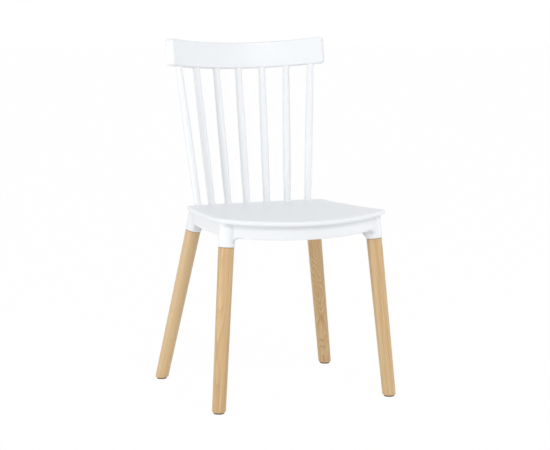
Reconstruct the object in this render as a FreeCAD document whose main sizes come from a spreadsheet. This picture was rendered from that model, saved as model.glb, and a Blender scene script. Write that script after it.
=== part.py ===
import FreeCAD
import Part
import Sketcher
import math
import os

from FreeCAD import Placement, Rotation, Vector

# Side chair: a one-piece moulded seat and spindle back standing on four turned wooden legs.
# Millimetres. The origin lies on the floor under the middle of the chair, +Z is up,
# the sitter looks along -Y and +X is the sitter's left.

DIMENSIONS = [
    # Seat plan: a rear arc, two straight flared sides and a bowed front
    ("seat_rear_corner_x", 179.0),
    ("seat_rear_corner_y", 111.6),
    ("seat_rear_middle_y", 180.6),
    ("seat_front_corner_x", 206.0),
    ("seat_front_corner_y", -188.4),
    ("seat_front_middle_y", -247.4),
    ("seat_corner_radius", 6.0),
    # Dished seat top: height of its middle line and of its sides at three stations
    ("dish_rear_y", 196.6),
    ("dish_rear_middle_z", 430.0),
    ("dish_rear_side_z", 441.0),
    ("dish_rear_side_x", 185.0),
    ("dish_waist_y", -23.4),
    ("dish_waist_middle_z", 428.0),
    ("dish_waist_side_z", 440.0),
    ("dish_waist_side_x", 200.0),
    ("dish_front_y", -263.4),
    ("dish_front_middle_z", 436.0),
    ("dish_front_side_z", 450.0),
    ("dish_front_side_x", 220.0),
    # Moulded walls
    ("skin_thickness", 4.0),
    ("rim_depth", 13.0),
    ("rim_wall", 4.0),
    ("rim_top_round", 5.0),
    ("rim_lower_round", 4.0),
    ("skirt_inset", 14.0),
    ("skirt_wall", 3.5),
    ("skirt_depth", 44.0),
    ("rib_thickness", 2.6),
    ("rib_depth", 19.0),
    ("rib_spacing", 62.0),
    # Leg axes: where each meets the floor and the rim of its socket
    ("socket_rim_z", 375.0),
    ("front_socket_x", 185.0),
    ("front_socket_y", -171.4),
    ("rear_socket_x", 159.0),
    ("rear_socket_y", 122.6),
    ("front_foot_x", 215.0),
    ("front_foot_y", -196.4),
    ("rear_foot_x", 222.0),
    ("rear_foot_y", 189.6),
    # Leg sockets
    ("socket_rim_radius", 19.3),
    ("socket_root_radius", 20.3),
    ("socket_height", 85.0),
    # Rounding between a socket and the skirt's lower edge: its radius and how far up the socket it starts
    ("skirt_fillet", 14.0),
    ("front_fillet_height", 9.5),
    ("rear_fillet_height", 5.5),
    ("tenon_clearance", 0.3),
    ("gusset_thickness", 4.0),
    ("gusset_toe_height", 3.0),
    ("gusset_toe_length", 1.0),
    ("gusset_reach", 57.0),
    ("gusset_rise", 58.0),
    ("pad_radius", 8.0),
    ("pad_height", 2.2),
    # Wooden legs
    ("leg_top_radius", 18.2),
    ("leg_foot_radius", 16.6),
    ("tenon_radius", 15.0),
    ("tenon_length", 46.0),
    ("tenon_chamfer", 1.5),
    ("foot_chamfer", 2.5),
    # Glides under the feet
    ("glide_radius", 12.5),
    ("glide_thickness", 3.5),
    ("glide_edge", 0.8),
    ("nail_radius", 1.1),
    ("nail_length", 17.0),
    ("nail_head_radius", 3.0),
    ("nail_head_height", 1.0),
    ("nail_clearance", 0.1),
    ("nail_recess", 0.7),
    # Leg bolts with washers and threaded inserts
    ("lower_bolt_height", 18.0),
    ("upper_bolt_height", 35.0),
    ("bolt_spread", 28.0),
    ("bolt_radius", 3.0),
    ("bolt_head_radius", 5.2),
    ("bolt_head_height", 3.3),
    ("bolt_key_size", 4.0),
    ("bolt_key_depth", 2.0),
    ("bolt_reach", 18.0),
    ("bolt_hole_clearance", 0.3),
    ("washer_radius", 6.2),
    ("washer_thickness", 1.2),
    ("insert_radius", 4.5),
    ("insert_length", 12.0),
    ("insert_clearance", 0.1),
    # Seven spindles between an arc on the seat and an arc under the crest rail
    ("spindle_count", 7.0),
    ("spindle_foot_pitch", 11.6),
    ("spindle_foot_arc_radius", 255.0),
    ("spindle_foot_y", 170.1),
    ("spindle_foot_z", 428.0),
    ("spindle_head_pitch", 10.95),
    ("spindle_head_arc_radius", 320.0),
    ("spindle_head_y", 224.6),
    ("spindle_head_z", 760.0),
    ("back_tilt", 10.5),
    ("spindle_end_radius", 8.0),
    ("spindle_belly_radius", 9.6),
    ("spindle_belly_height", 130.0),
    ("spindle_embedding", 6.0),
    # Crest rail: a curved band over the spindles
    ("rail_arc_radius", 320.0),
    ("rail_half_angle", 39.2),
    ("rail_thickness", 24.0),
    ("rail_height", 65.5),
    ("rail_top_dip", 2.5),
    ("rail_corner_round", 8.0),
    ("rail_edge_round", 4.0),
]

doc = FreeCAD.newDocument("spindle_chair")

sheet = doc.addObject("Spreadsheet::Sheet", "dims")
for row, (alias, size) in enumerate(DIMENSIONS, start=1):
    sheet.set("A%d" % row, alias)
    sheet.set("B%d" % row, str(size))
    sheet.setAlias("B%d" % row, alias)
doc.recompute()


def value(alias):
    """Plain number held by a named cell."""
    return float(sheet.get(alias))


def bind(target, bindings):
    """Tie properties of an object to expressions over the sheet."""
    for prop, expression in bindings.items():
        target.setExpression(prop, expression)
    return target


def add(kind, name, bindings=None, placement=None):
    """New document object with bound sizes and a place."""
    item = doc.addObject(kind, name)
    if placement is not None:
        item.Placement = placement
    if bindings:
        bind(item, bindings)
    return item


def join(name, pieces):
    """Union of several solids."""
    item = doc.addObject("Part::MultiFuse", name)
    item.Shapes = pieces
    item.Refine = False
    return item


def overlap(name, pieces):
    """Common volume of several solids."""
    item = doc.addObject("Part::MultiCommon", name)
    item.Shapes = pieces
    return item


def cut(name, base, tool):
    """Base with the tool taken away."""
    item = doc.addObject("Part::Cut", name)
    item.Base = base
    item.Tool = tool
    return item


def lowered(name, source, expression):
    """Copy of a solid moved straight down by a bound distance."""
    link = doc.addObject("App::Link", name)
    link.LinkedObject = source
    link.setExpression("Placement.Base.z", "-(%s)" % expression)
    return link


def origin_plane(body, role):
    """Origin plane of a body, found by its role."""
    for feature in body.Origin.OriginFeatures:
        if feature.Role == role:
            return feature
    raise RuntimeError("no plane " + role)


def name_constraint(sketch, constraint, name, expression):
    """Add a dimension to a sketch, name it and tie it to the sheet."""
    index = sketch.addConstraint(constraint)
    sketch.renameConstraint(index, name)
    sketch.setExpression("Constraints." + name, expression)
    return index


# The seat block reaches this far below the socket rims, so that lowered copies still cover them
BLOCK_MARGIN = 60.0
# The middle of a face on top of the rim is at most this far below the middle of the rim's side
SIDE_TOLERANCE = 8.0
# Gussets and fillet rings start this far inside the socket wall, short of the bore
GUSSET_ROOT = 1.5


# Seat block: everything below the dished seat top, lofted through three stations

def dish_section(station):
    """Upright section of the seat block at one station, in a plane across the seat."""
    half = value("dish_%s_side_x" % station)
    side = value("dish_%s_side_z" % station)
    middle = value("dish_%s_middle_z" % station)
    base = value("socket_rim_z") - BLOCK_MARGIN
    sketch = doc.addObject("Sketcher::SketchObject", "dish_section_" + station)
    sketch.Placement = Placement(Vector(0, 0, 0), Rotation(Vector(1, 0, 0), 90))
    sketch.setExpression("Placement.Base.y", "dims.dish_%s_y" % station)
    left_top = Vector(-half, side, 0)
    right_top = Vector(half, side, 0)
    right_base = Vector(half, base, 0)
    left_base = Vector(-half, base, 0)
    arc = Part.Arc(left_top, Vector(0, middle, 0), right_top)
    top = sketch.addGeometry(arc, False)
    right = sketch.addGeometry(Part.LineSegment(right_top, right_base), False)
    bottom = sketch.addGeometry(Part.LineSegment(right_base, left_base), False)
    left = sketch.addGeometry(Part.LineSegment(left_base, left_top), False)
    middle_point = sketch.addGeometry(Part.Point(Vector(0, middle, 0)), True)
    # the arc lies below its centre, so it starts at the left and ends at the right
    sketch.addConstraint(Sketcher.Constraint("Coincident", top, 2, right, 1))
    sketch.addConstraint(Sketcher.Constraint("Coincident", right, 2, bottom, 1))
    sketch.addConstraint(Sketcher.Constraint("Coincident", bottom, 2, left, 1))
    sketch.addConstraint(Sketcher.Constraint("Coincident", left, 2, top, 1))
    sketch.addConstraint(Sketcher.Constraint("Vertical", right))
    sketch.addConstraint(Sketcher.Constraint("Vertical", left))
    sketch.addConstraint(Sketcher.Constraint("Symmetric", top, 1, top, 2, -2))
    sketch.addConstraint(Sketcher.Constraint("Horizontal", bottom))
    sketch.addConstraint(Sketcher.Constraint("PointOnObject", middle_point, 1, -2))
    sketch.addConstraint(Sketcher.Constraint("PointOnObject", middle_point, 1, top))
    name_constraint(sketch, Sketcher.Constraint("DistanceX", -1, 1, right, 1, half),
                    "half_width", "dims.dish_%s_side_x" % station)
    name_constraint(sketch, Sketcher.Constraint("DistanceY", -1, 1, right, 1, side),
                    "side_height", "dims.dish_%s_side_z" % station)
    name_constraint(sketch, Sketcher.Constraint("DistanceY", -1, 1, middle_point, 1, middle),
                    "middle_height", "dims.dish_%s_middle_z" % station)
    name_constraint(sketch, Sketcher.Constraint("DistanceY", -1, 1, right, 2, base),
                    "base_height", "dims.socket_rim_z - %g" % BLOCK_MARGIN)
    return sketch


stations = [dish_section(station) for station in ("rear", "waist", "front")]
seat_block = doc.addObject("Part::Loft", "seat_block")
seat_block.Sections = stations
seat_block.Solid = True
seat_block.Ruled = False
block_in_skin = lowered("block_in_skin", seat_block, "dims.skin_thickness / 2")
block_under_skin = lowered("block_under_skin", seat_block, "dims.skin_thickness")
block_under_rim = lowered("block_under_rim", seat_block, "dims.rim_depth")
block_under_skirt = lowered("block_under_skirt", seat_block, "dims.skirt_depth")
block_under_ribs = lowered("block_under_ribs", seat_block, "dims.skin_thickness + dims.rib_depth")
doc.recompute()


# Seat plan and the inset outlines of rim and skirt

def plan_sketch():
    """Outline of the seat seen from above."""
    rear_x = value("seat_rear_corner_x")
    rear_y = value("seat_rear_corner_y")
    front_x = value("seat_front_corner_x")
    front_y = value("seat_front_corner_y")
    rear_middle = Vector(0, value("seat_rear_middle_y"), 0)
    front_middle = Vector(0, value("seat_front_middle_y"), 0)
    rear_right = Vector(rear_x, rear_y, 0)
    rear_left = Vector(-rear_x, rear_y, 0)
    front_left = Vector(-front_x, front_y, 0)
    front_right = Vector(front_x, front_y, 0)
    sketch = doc.addObject("Sketcher::SketchObject", "seat_plan")
    rear = sketch.addGeometry(Part.Arc(rear_right, rear_middle, rear_left), False)
    left = sketch.addGeometry(Part.LineSegment(rear_left, front_left), False)
    front = sketch.addGeometry(Part.Arc(front_left, front_middle, front_right), False)
    right = sketch.addGeometry(Part.LineSegment(front_right, rear_right), False)
    rear_point = sketch.addGeometry(Part.Point(rear_middle), True)
    front_point = sketch.addGeometry(Part.Point(front_middle), True)
    sketch.addConstraint(Sketcher.Constraint("Coincident", rear, 2, left, 1))
    sketch.addConstraint(Sketcher.Constraint("Coincident", left, 2, front, 1))
    sketch.addConstraint(Sketcher.Constraint("Coincident", front, 2, right, 1))
    sketch.addConstraint(Sketcher.Constraint("Coincident", right, 2, rear, 1))
    sketch.addConstraint(Sketcher.Constraint("Symmetric", rear, 1, rear, 2, -2))
    sketch.addConstraint(Sketcher.Constraint("Symmetric", front, 1, front, 2, -2))
    for point, arc in ((rear_point, rear), (front_point, front)):
        sketch.addConstraint(Sketcher.Constraint("PointOnObject", point, 1, -2))
        sketch.addConstraint(Sketcher.Constraint("PointOnObject", point, 1, arc))
    name_constraint(sketch, Sketcher.Constraint("DistanceX", -1, 1, rear, 1, rear_x),
                    "rear_corner_x", "dims.seat_rear_corner_x")
    name_constraint(sketch, Sketcher.Constraint("DistanceY", -1, 1, rear, 1, rear_y),
                    "rear_corner_y", "dims.seat_rear_corner_y")
    name_constraint(sketch, Sketcher.Constraint("DistanceX", -1, 1, front, 2, front_x),
                    "front_corner_x", "dims.seat_front_corner_x")
    name_constraint(sketch, Sketcher.Constraint("DistanceY", front, 2, -1, 1, -front_y),
                    "front_corner_y", "-dims.seat_front_corner_y")
    name_constraint(sketch, Sketcher.Constraint("DistanceY", -1, 1, rear_point, 1, rear_middle.y),
                    "rear_middle_y", "dims.seat_rear_middle_y")
    name_constraint(sketch, Sketcher.Constraint("DistanceY", front_point, 1, -1, 1, -front_middle.y),
                    "front_middle_y", "-dims.seat_front_middle_y")
    return sketch


def column(name, outline):
    """Tall upright prism over an outline, higher than the seat and lower than the sockets."""
    prism = doc.addObject("Part::Extrusion", name)
    prism.Base = outline
    prism.DirMode = "Custom"
    prism.Dir = Vector(0, 0, 1)
    prism.Solid = True
    prism.setExpression("LengthFwd", "dims.dish_front_side_z + %g" % BLOCK_MARGIN)
    return prism


def inset_outline(name, source, expression):
    """Outline moved inward by a bound distance."""
    item = doc.addObject("Part::Offset2D", name)
    item.Source = source
    item.Join = "Intersection"
    item.setExpression("Value", "-(%s)" % expression)
    return item


def upright_edges(shape):
    """Numbers of the straight upright edges of a prism."""
    found = []
    for index, edge in enumerate(shape.Edges, start=1):
        if not isinstance(edge.Curve, Part.Line):
            continue
        if abs(edge.tangentAt(edge.FirstParameter).z) > 0.99:
            found.append(index)
    return found


def rounded_column(name, prism, radius):
    """Prism with its upright corners rounded."""
    doc.recompute()
    item = doc.addObject("Part::Fillet", name)
    item.Base = prism
    item.Edges = [(index, radius, radius) for index in upright_edges(prism.Shape)]
    return item


seat_plan = plan_sketch()
doc.recompute()
lip_plan = inset_outline("lip_plan", seat_plan, "dims.rim_wall")
skirt_plan = inset_outline("skirt_plan", seat_plan, "dims.skirt_inset")
rib_plan = inset_outline("rib_plan", seat_plan, "dims.skirt_inset + dims.skirt_wall / 2")
cavity_plan = inset_outline("cavity_plan", seat_plan, "dims.skirt_inset + dims.skirt_wall")
doc.recompute()

corner_radius = value("seat_corner_radius")
seat_column = rounded_column("seat_column", column("seat_prism", seat_plan), corner_radius)
lip_column = column("lip_column", lip_plan)
skirt_column = rounded_column("skirt_column", column("skirt_prism", skirt_plan), corner_radius)
skirt_core = column("skirt_core", skirt_plan)
rib_column = column("rib_column", rib_plan)
cavity_column = column("cavity_column", cavity_plan)


# Seat plate with its rolled rim

def rim_edges(shape):
    """Numbers of the plate's upper and lower perimeter edges, by height against the rim's middle."""
    upper = []
    lower = []
    for index, edge in enumerate(shape.Edges, start=1):
        if abs(edge.tangentAt(edge.FirstParameter).z) > 0.9:
            continue
        faces = shape.ancestorsOfType(edge, Part.Face)
        tilts = [abs(face.normalAt(*face.Surface.parameter(edge.CenterOfMass)).z) for face in faces]
        if max(tilts) < 0.5 or min(tilts) > 0.5:
            continue
        broad = faces[tilts.index(max(tilts))]
        side = faces[tilts.index(min(tilts))]
        if broad.CenterOfMass.z > side.CenterOfMass.z - SIDE_TOLERANCE and is_top_face(shape, broad):
            upper.append(index)
        else:
            lower.append(index)
    return upper, lower


def is_top_face(shape, face):
    """True for the face whose middle is the highest of the broad faces."""
    middles = [f.CenterOfMass.z for f in shape.Faces if f.Area > 0.25 * max(g.Area for g in shape.Faces)]
    return face.CenterOfMass.z > max(middles) - 1.0


doc.recompute()
plate_blank = cut("plate_blank", overlap("plate_block", [seat_block, seat_column]), block_under_rim)
doc.recompute()
upper_rim, lower_rim = rim_edges(plate_blank.Shape)
seat_plate = doc.addObject("Part::Fillet", "seat_plate")
seat_plate.Base = plate_blank
top_round = value("rim_top_round")
lower_round = value("rim_lower_round")
seat_plate.Edges = ([(index, top_round, top_round) for index in upper_rim]
                    + [(index, lower_round, lower_round) for index in lower_rim])
doc.recompute()


# Legs and everything on them share a frame each: origin at the middle of the socket rim,
# Z up along the leg, X pointing outward and down the splay

LEGS = [
    ("front_left", 1, "front"),
    ("front_right", -1, "front"),
    ("rear_left", 1, "rear"),
    ("rear_right", -1, "rear"),
]


def leg_points(side, end):
    """Points where a leg's axis meets the floor and its socket rim."""
    foot = Vector(side * value(end + "_foot_x"), value(end + "_foot_y"), 0)
    rim = Vector(side * value(end + "_socket_x"), value(end + "_socket_y"), value("socket_rim_z"))
    return foot, rim


def leg_frame(side, end):
    """Placement of a leg's own frame."""
    foot, rim = leg_points(side, end)
    axis = (rim - foot).normalize()
    splay = Vector(foot.x - rim.x, foot.y - rim.y, 0)
    outward = (splay - axis * splay.dot(axis)).normalize()
    return Placement(rim, Rotation(outward, axis.cross(outward), axis, "ZXY"))


def leg_tilt(side, end):
    """Angle between a leg and the upright, in degrees."""
    foot, rim = leg_points(side, end)
    return math.degrees((rim - foot).getAngle(Vector(0, 0, 1)))


def bolt_frames(frame):
    """Placements of a leg's two bolts: Z points out of the tenon, towards the middle of the seat."""
    places = []
    spread = value("bolt_spread")
    for height, turn in ((value("lower_bolt_height"), spread), (value("upper_bolt_height"), -spread)):
        inward = Rotation(Vector(0, 0, 1), 180 + turn) * Rotation(Vector(0, 1, 0), 90)
        places.append(frame * Placement(Vector(0, 0, height), inward))
    return places


def gusset_plate(tag, frame):
    """Web in the plane of the splay, from the socket's inner side up to the seat."""
    toe = value("gusset_toe_height")
    inner = -value("tenon_radius") - value("tenon_clearance") - GUSSET_ROOT
    wall_side = -value("socket_rim_radius") - value("gusset_toe_length")
    reach = -value("gusset_reach")
    rise = value("gusset_rise")
    top = value("socket_height")
    outline = Part.makePolygon([
        Vector(inner, 0, toe),
        Vector(wall_side, 0, toe),
        Vector(reach, 0, rise),
        Vector(reach, 0, top),
        Vector(inner, 0, top),
        Vector(inner, 0, toe),
    ])
    profile = doc.addObject("Part::Feature", "gusset_profile_" + tag)
    profile.Shape = outline
    profile.Placement = frame
    web = doc.addObject("Part::Extrusion", "gusset_" + tag)
    web.Base = profile
    web.DirMode = "Custom"
    web.Dir = frame.Rotation * Vector(0, 1, 0)
    web.Solid = True
    bind(web, {"LengthFwd": "dims.gusset_thickness / 2", "LengthRev": "dims.gusset_thickness / 2"})
    return web


def skirt_fillet(tag, end, frame):
    """Ring round a socket with a hollow underside, that blends the socket into the skirt's lower edge."""
    inner = value("tenon_radius") + value("tenon_clearance") + GUSSET_ROOT
    wall = value("socket_rim_radius")
    radius = value("skirt_fillet")
    low = value(end + "_fillet_height")
    top = low + 2 * radius
    toe = Vector(wall, 0, low)
    crest = Vector(wall + radius, 0, low + radius)
    middle = Vector(wall + radius - radius / math.sqrt(2), 0, low + radius / math.sqrt(2))
    hollow_arc = Part.Arc(toe, middle, crest).toShape()
    rest = Part.makePolygon([crest, Vector(crest.x, 0, top), Vector(inner, 0, top), Vector(inner, 0, low), toe])
    profile = doc.addObject("Part::Feature", "fillet_profile_" + tag)
    profile.Shape = Part.Face(Part.Wire([hollow_arc] + rest.Edges))
    ring = doc.addObject("Part::Revolution", "skirt_fillet_" + tag)
    ring.Source = profile
    ring.Axis = Vector(0, 0, 1)
    ring.Base = Vector(0, 0, 0)
    ring.Angle = 360.0
    ring.Solid = True
    ring.Placement = frame
    return ring


socket_solids = []
fillet_rings = []
socket_bores = []
bolt_holes = []
for tag, side, end in LEGS:
    frame = leg_frame(side, end)
    tube = add("Part::Cone", "socket_" + tag, {
        "Radius1": "dims.socket_rim_radius",
        "Radius2": "dims.socket_root_radius",
        "Height": "dims.socket_height",
    }, frame)
    bore = add("Part::Cylinder", "socket_bore_" + tag, {
        "Radius": "dims.tenon_radius + dims.tenon_clearance",
        "Height": "dims.socket_height",
    }, frame)
    socket_solids += [tube, gusset_plate(tag, frame)]
    fillet_rings.append(skirt_fillet(tag, end, frame))
    socket_bores.append(bore)
    for number, place in enumerate(bolt_frames(frame), start=1):
        socket_solids.append(add("Part::Cylinder", "bolt_pad_%s_%d" % (tag, number), {
            "Radius": "dims.pad_radius",
            "Height": "dims.socket_rim_radius + dims.pad_height",
        }, place))
        bolt_holes.append(add("Part::Cylinder", "bolt_hole_%s_%d" % (tag, number), {
            "Radius": "dims.bolt_radius + dims.bolt_hole_clearance",
            "Height": "dims.socket_rim_radius + 2 * dims.pad_height",
        }, place))
doc.recompute()


# Ribs under the seat, in both directions

def rib(name, offset, along_x):
    """Tall thin wall through the whole seat, trimmed later to the space under the skin."""
    length = "4 * dims.seat_front_corner_x"
    wall = add("Part::Box", name, {"Height": "dims.dish_front_side_z"})
    if along_x:
        bind(wall, {"Length": length, "Width": "dims.rib_thickness"})
        wall.setExpression("Placement.Base.x", "-2 * dims.seat_front_corner_x")
        wall.setExpression("Placement.Base.y", "%s - dims.rib_thickness / 2" % offset)
    else:
        bind(wall, {"Width": length, "Length": "dims.rib_thickness"})
        wall.setExpression("Placement.Base.y", "-2 * dims.seat_front_corner_x")
        wall.setExpression("Placement.Base.x", "%s - dims.rib_thickness / 2" % offset)
    return wall


rib_walls = []
for step in (-2, -1, 0, 1, 2):
    rib_walls.append(rib("long_rib_%d" % (step + 3), "%d * dims.rib_spacing" % step, False))
for step in (-2, -1, 0, 1, 2):
    offset = "dims.dish_waist_y + %d * dims.rib_spacing" % step
    rib_walls.append(rib("cross_rib_%d" % (step + 3), offset, True))
rib_grid = join("rib_grid", rib_walls)
rib_zone = cut("rib_zone", overlap("rib_block", [block_in_skin, rib_column]), block_under_ribs)
ribs = overlap("ribs", [rib_grid, rib_zone])


# Spindles: round bars with a slight belly, from an arc on the seat to a wider one under the rail

def back_ring(arc_radius, middle_y, middle_z, angle):
    """Point at an angle round one of the tilted arcs that the back follows."""
    tilt = math.radians(value("back_tilt"))
    backward = Vector(0, math.cos(tilt), -math.sin(tilt))
    middle = Vector(0, middle_y, middle_z)
    centre = middle - backward * arc_radius
    return centre + Vector(1, 0, 0) * arc_radius * math.sin(angle) + backward * arc_radius * math.cos(angle)


def spindle_end(end, step):
    """Point where a spindle's axis meets the seat or the crest rail, counted in steps from the middle."""
    angle = math.radians(value("spindle_%s_pitch" % end) * step)
    return back_ring(value("spindle_%s_arc_radius" % end), value("spindle_%s_y" % end),
                     value("spindle_%s_z" % end), angle)


def spindle_cones(number, step):
    """The two tapers of one spindle, which roots a little way into seat and rail."""
    foot = spindle_end("foot", step)
    head = spindle_end("head", step)
    axis = (head - foot).normalize()
    turn = Rotation(Vector(0, 0, 1), axis)
    above_belly = head.distanceToPoint(foot) - value("spindle_belly_height")
    lower = add("Part::Cone", "spindle_lower_%d" % number, {
        "Radius1": "dims.spindle_end_radius",
        "Radius2": "dims.spindle_belly_radius",
        "Height": "dims.spindle_belly_height + dims.spindle_embedding",
    }, Placement(foot - axis * value("spindle_embedding"), turn))
    upper = add("Part::Cone", "spindle_upper_%d" % number, {
        "Radius1": "dims.spindle_belly_radius",
        "Radius2": "dims.spindle_end_radius",
        "Height": "%.6f + dims.spindle_embedding" % above_belly,
    }, Placement(foot + axis * value("spindle_belly_height"), turn))
    return [lower, upper]


spindle_count = int(value("spindle_count"))
spindles = []
for number in range(spindle_count):
    spindles += spindle_cones(number + 1, number - (spindle_count - 1) / 2)


# Crest rail: sector of a ring standing on the spindle heads, rounded all over

def rail_sector(lift):
    """Outline of the rail at a height over its lower edge."""
    half = math.radians(value("rail_half_angle"))
    inner = value("rail_arc_radius") - value("rail_thickness") / 2
    outer = inner + value("rail_thickness")

    def at(radius, angle):
        return Vector(radius * math.sin(angle), radius * math.cos(angle), lift)

    front = Part.Arc(at(inner, -half), at(inner, 0), at(inner, half)).toShape()
    back = Part.Arc(at(outer, half), at(outer, 0), at(outer, -half)).toShape()
    right = Part.makeLine(at(inner, half), at(outer, half))
    left = Part.makeLine(at(outer, -half), at(inner, -half))
    return Part.Wire([front, right, back, left])


def edges_where(shape, test):
    """Numbers of the edges that pass a test."""
    return [index for index, edge in enumerate(shape.Edges, start=1) if test(edge)]


rail_blank = doc.addObject("Part::Feature", "rail_blank")
rail_blank.Shape = Part.makeLoft([rail_sector(0), rail_sector(value("rail_height"))], True, True)
tilt = math.radians(value("back_tilt"))
rail_backward = Vector(0, math.cos(tilt), -math.sin(tilt))
rail_base = Vector(0, value("spindle_head_y"), value("spindle_head_z")) - rail_backward * value("rail_arc_radius")
rail_blank.Placement = Placement(rail_base, Rotation(Vector(1, 0, 0), -value("back_tilt")))

# The rail's upper edge hangs in a shallow arc, cut by a wide cylinder that lies across the rail
half_span = (value("rail_arc_radius") + value("rail_thickness") / 2) * math.sin(math.radians(value("rail_half_angle")))
dip = value("rail_top_dip")
dip_radius = (half_span * half_span + dip * dip) / (2 * dip)
rail_upward = Vector(0, math.sin(tilt), math.cos(tilt))
dip_centre = rail_base + rail_upward * (value("rail_height") - dip + dip_radius)
dip_cylinder = doc.addObject("Part::Cylinder", "dip_cylinder")
dip_cylinder.Radius = dip_radius
dip_cylinder.Placement = Placement(dip_centre, Rotation(Vector(0, 0, 1), rail_backward))
bind(dip_cylinder, {"Height": "2 * dims.rail_arc_radius"})
rail_dipped = cut("rail_dipped", rail_blank, dip_cylinder)
doc.recompute()


def is_end_corner(edge):
    """Short edge across the rail's thickness, at one of its four corners."""
    return abs(edge.Length - value("rail_thickness")) < 0.5


corner = value("rail_corner_round")
rail_cornered = doc.addObject("Part::Fillet", "rail_cornered")
rail_cornered.Base = rail_dipped
rail_cornered.Edges = [(i, corner, corner) for i in edges_where(rail_dipped.Shape, is_end_corner)]
doc.recompute()


def broad_faces(shape):
    """Front and back face of the rail, the two largest."""
    return sorted(shape.Faces, key=lambda face: face.Area)[-2:]


rim_of_faces = [edge for face in broad_faces(rail_cornered.Shape) for edge in face.Edges]


def is_face_rim(edge):
    """Edge round the front or the back face of the rail."""
    return any(edge.isSame(other) for other in rim_of_faces)


edge_round = value("rail_edge_round")
crest_rail = doc.addObject("Part::Fillet", "crest_rail")
crest_rail.Base = rail_cornered
crest_rail.Edges = [(i, edge_round, edge_round) for i in edges_where(rail_cornered.Shape, is_face_rim)]
doc.recompute()


# Shell: one moulding of seat plate, skirt, sockets, ribs, spindles and crest rail

skirt_mass = cut("skirt_mass", overlap("skirt_block", [block_in_skin, skirt_column]), block_under_skirt)
hollow = overlap("hollow", [block_under_skin, cavity_column])
groove_ring = cut("groove_ring", lip_column, skirt_core)
groove = overlap("groove", [block_under_skin, groove_ring])
plate_and_back = join("plate_and_back", [seat_plate, skirt_mass] + spindles + [crest_rail])
walls = cut("walls", plate_and_back, join("underside_spaces", [hollow, groove]))
sockets = overlap("sockets", [join("socket_union", socket_solids), block_in_skin])
skirt_ring = cut("skirt_ring", skirt_column, cavity_column)
skirt_fillets = overlap("skirt_fillets", [join("fillet_union", fillet_rings), skirt_ring])
ribbed = join("ribbed", [walls, ribs, sockets, skirt_fillets])
bores = overlap("bores", [join("bore_union", socket_bores), block_under_skin])
shell = cut("shell", ribbed, join("shell_openings", [bores] + bolt_holes))
doc.recompute()
shell.Label = "seat_and_back_shell"
pieces = [shell]


# Wooden legs: turned shaft and tenon, foot cut level with the floor

def polygon_sketch(body, name, role, points):
    """Closed outline of straight lines on one of a body's origin planes."""
    sketch = body.newObject("Sketcher::SketchObject", name)
    sketch.AttachmentSupport = [(origin_plane(body, role), "")]
    sketch.MapMode = "FlatFace"
    count = len(points)
    for index in range(count):
        start = Vector(points[index][0], points[index][1], 0)
        stop = Vector(points[(index + 1) % count][0], points[(index + 1) % count][1], 0)
        sketch.addGeometry(Part.LineSegment(start, stop), False)
    for index in range(count):
        sketch.addConstraint(Sketcher.Constraint("Coincident", index, 2, (index + 1) % count, 1))
    return sketch


def place_corners(sketch, corners):
    """Tie the start points of a sketch's lines to distances from the origin."""
    for index, (name, across, along) in enumerate(corners):
        for axis, kind, expression in (("x", "DistanceX", across), ("y", "DistanceY", along)):
            point = sketch.Geometry[index].StartPoint
            size = point.x if axis == "x" else point.y
            if expression == "0" and axis == "x":
                sketch.addConstraint(Sketcher.Constraint("PointOnObject", index, 1, -2))
            elif expression == "0":
                sketch.addConstraint(Sketcher.Constraint("PointOnObject", index, 1, -1))
            elif size >= 0:
                constraint = Sketcher.Constraint(kind, -1, 1, index, 1, size)
                name_constraint(sketch, constraint, name + "_" + axis, expression)
            else:
                constraint = Sketcher.Constraint(kind, index, 1, -1, 1, -size)
                name_constraint(sketch, constraint, name + "_" + axis, "-(%s)" % expression)


def turned_body(name, corners):
    """Body turned about its Z axis from a half outline of (name, radius, height) corners."""
    body = doc.addObject("PartDesign::Body", name)
    points = [(evaluate(across), evaluate(along)) for _, across, along in corners]
    profile = polygon_sketch(body, name + "_profile", "XZ_Plane", points)
    place_corners(profile, corners)
    turning = body.newObject("PartDesign::Revolution", name + "_turning")
    turning.Profile = profile
    turning.ReferenceAxis = (profile, ["V_Axis"])
    turning.Angle = 360.0
    return body


def evaluate(expression):
    """Value of an arithmetic expression over the sheet."""
    return float(sheet.evalExpression(expression))


def bore_in(body, name, place, bindings):
    """Round hole in a body, given by the cylinder that it takes away."""
    hole = body.newObject("PartDesign::SubtractiveCylinder", name)
    hole.Placement = place
    bind(hole, bindings)
    return hole


def flat_end(shape, direction):
    """Plane face of a shape that looks along a direction."""
    for face in shape.Faces:
        if isinstance(face.Surface, Part.Plane) and face.normalAt(0, 0).dot(direction) > 0.999:
            return face
    raise RuntimeError("no such face")


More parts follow.
